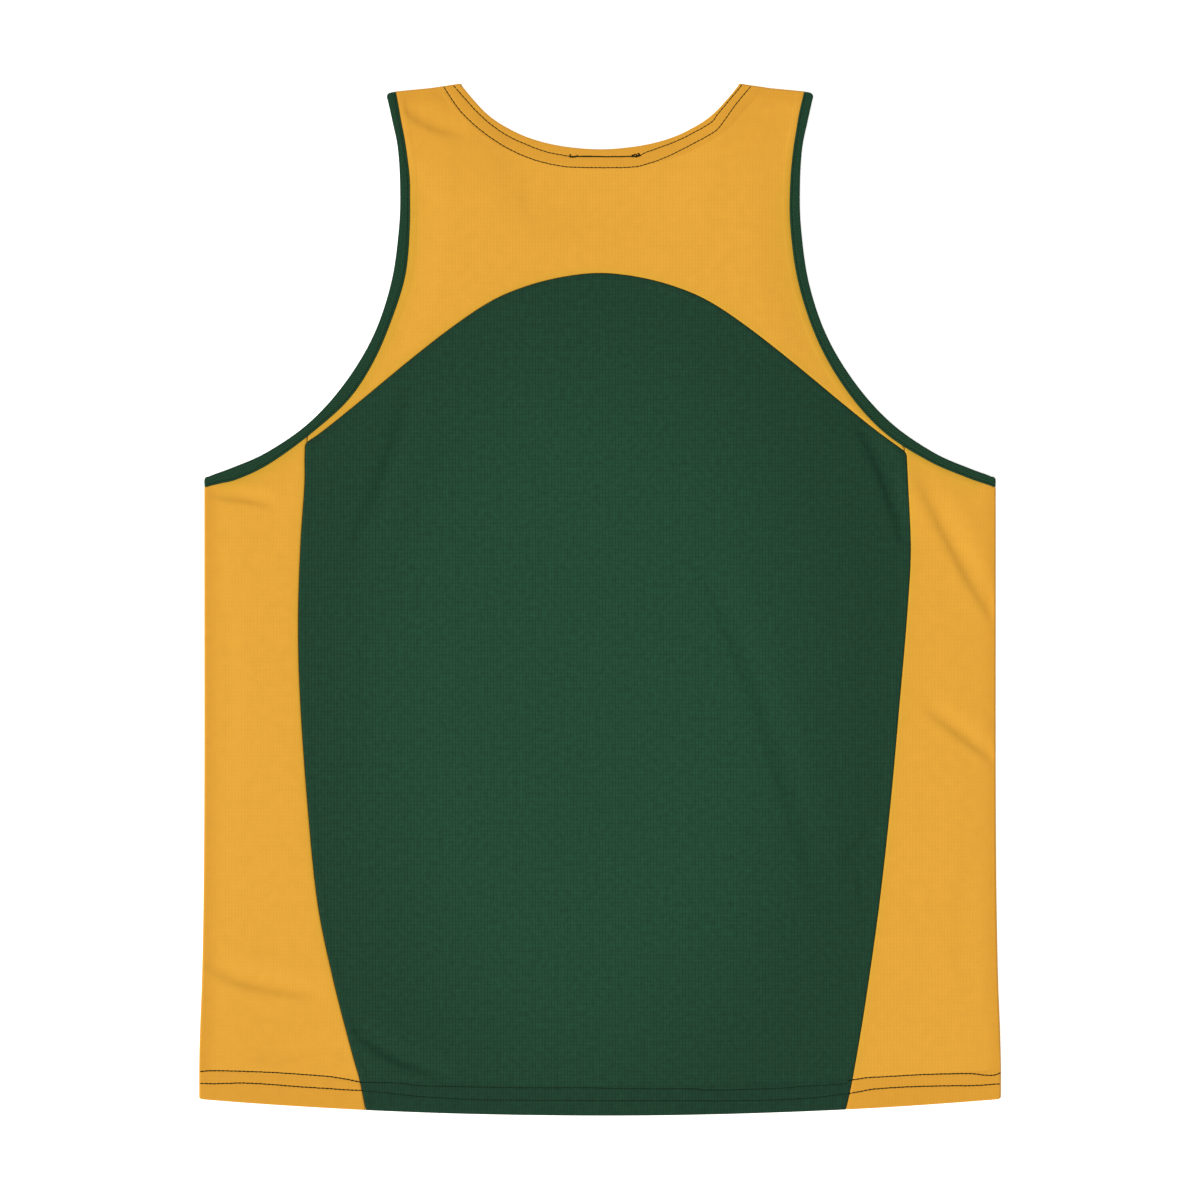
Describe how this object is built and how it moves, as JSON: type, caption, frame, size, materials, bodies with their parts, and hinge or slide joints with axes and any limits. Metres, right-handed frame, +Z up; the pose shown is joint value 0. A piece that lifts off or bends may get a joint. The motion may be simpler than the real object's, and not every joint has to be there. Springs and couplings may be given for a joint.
{
  "type": "athletic singlet",
  "caption": "Sleeveless knit running top laid flat with its back up, with scoop neck, bound armholes, arched centre-back panel and straight open hem.",
  "frame": {"origin": "middle of the garment's box in plan, on the surface that it lies on", "axes": "+Y towards the neck, +X to the right as the back is seen from above, +Z up, out of the back"},
  "size_m": [0.5776, 0.7433, 0.0054],
  "materials": {
    "gold_knit": "matte polyester pique knit, gold",
    "green_knit": "matte polyester pique knit, bottle green",
    "green_binding": "folded rib knit binding, bottle green"
  },
  "bodies": {
    "root": {"back_yoke": "gold_knit", "back_centre_panel": "green_knit", "side_panel_left": "gold_knit", "side_panel_right": "gold_knit", "front_panel": "gold_knit", "armhole_binding_left": "green_binding", "armhole_binding_right": "green_binding"}
  },
  "joints": []
}
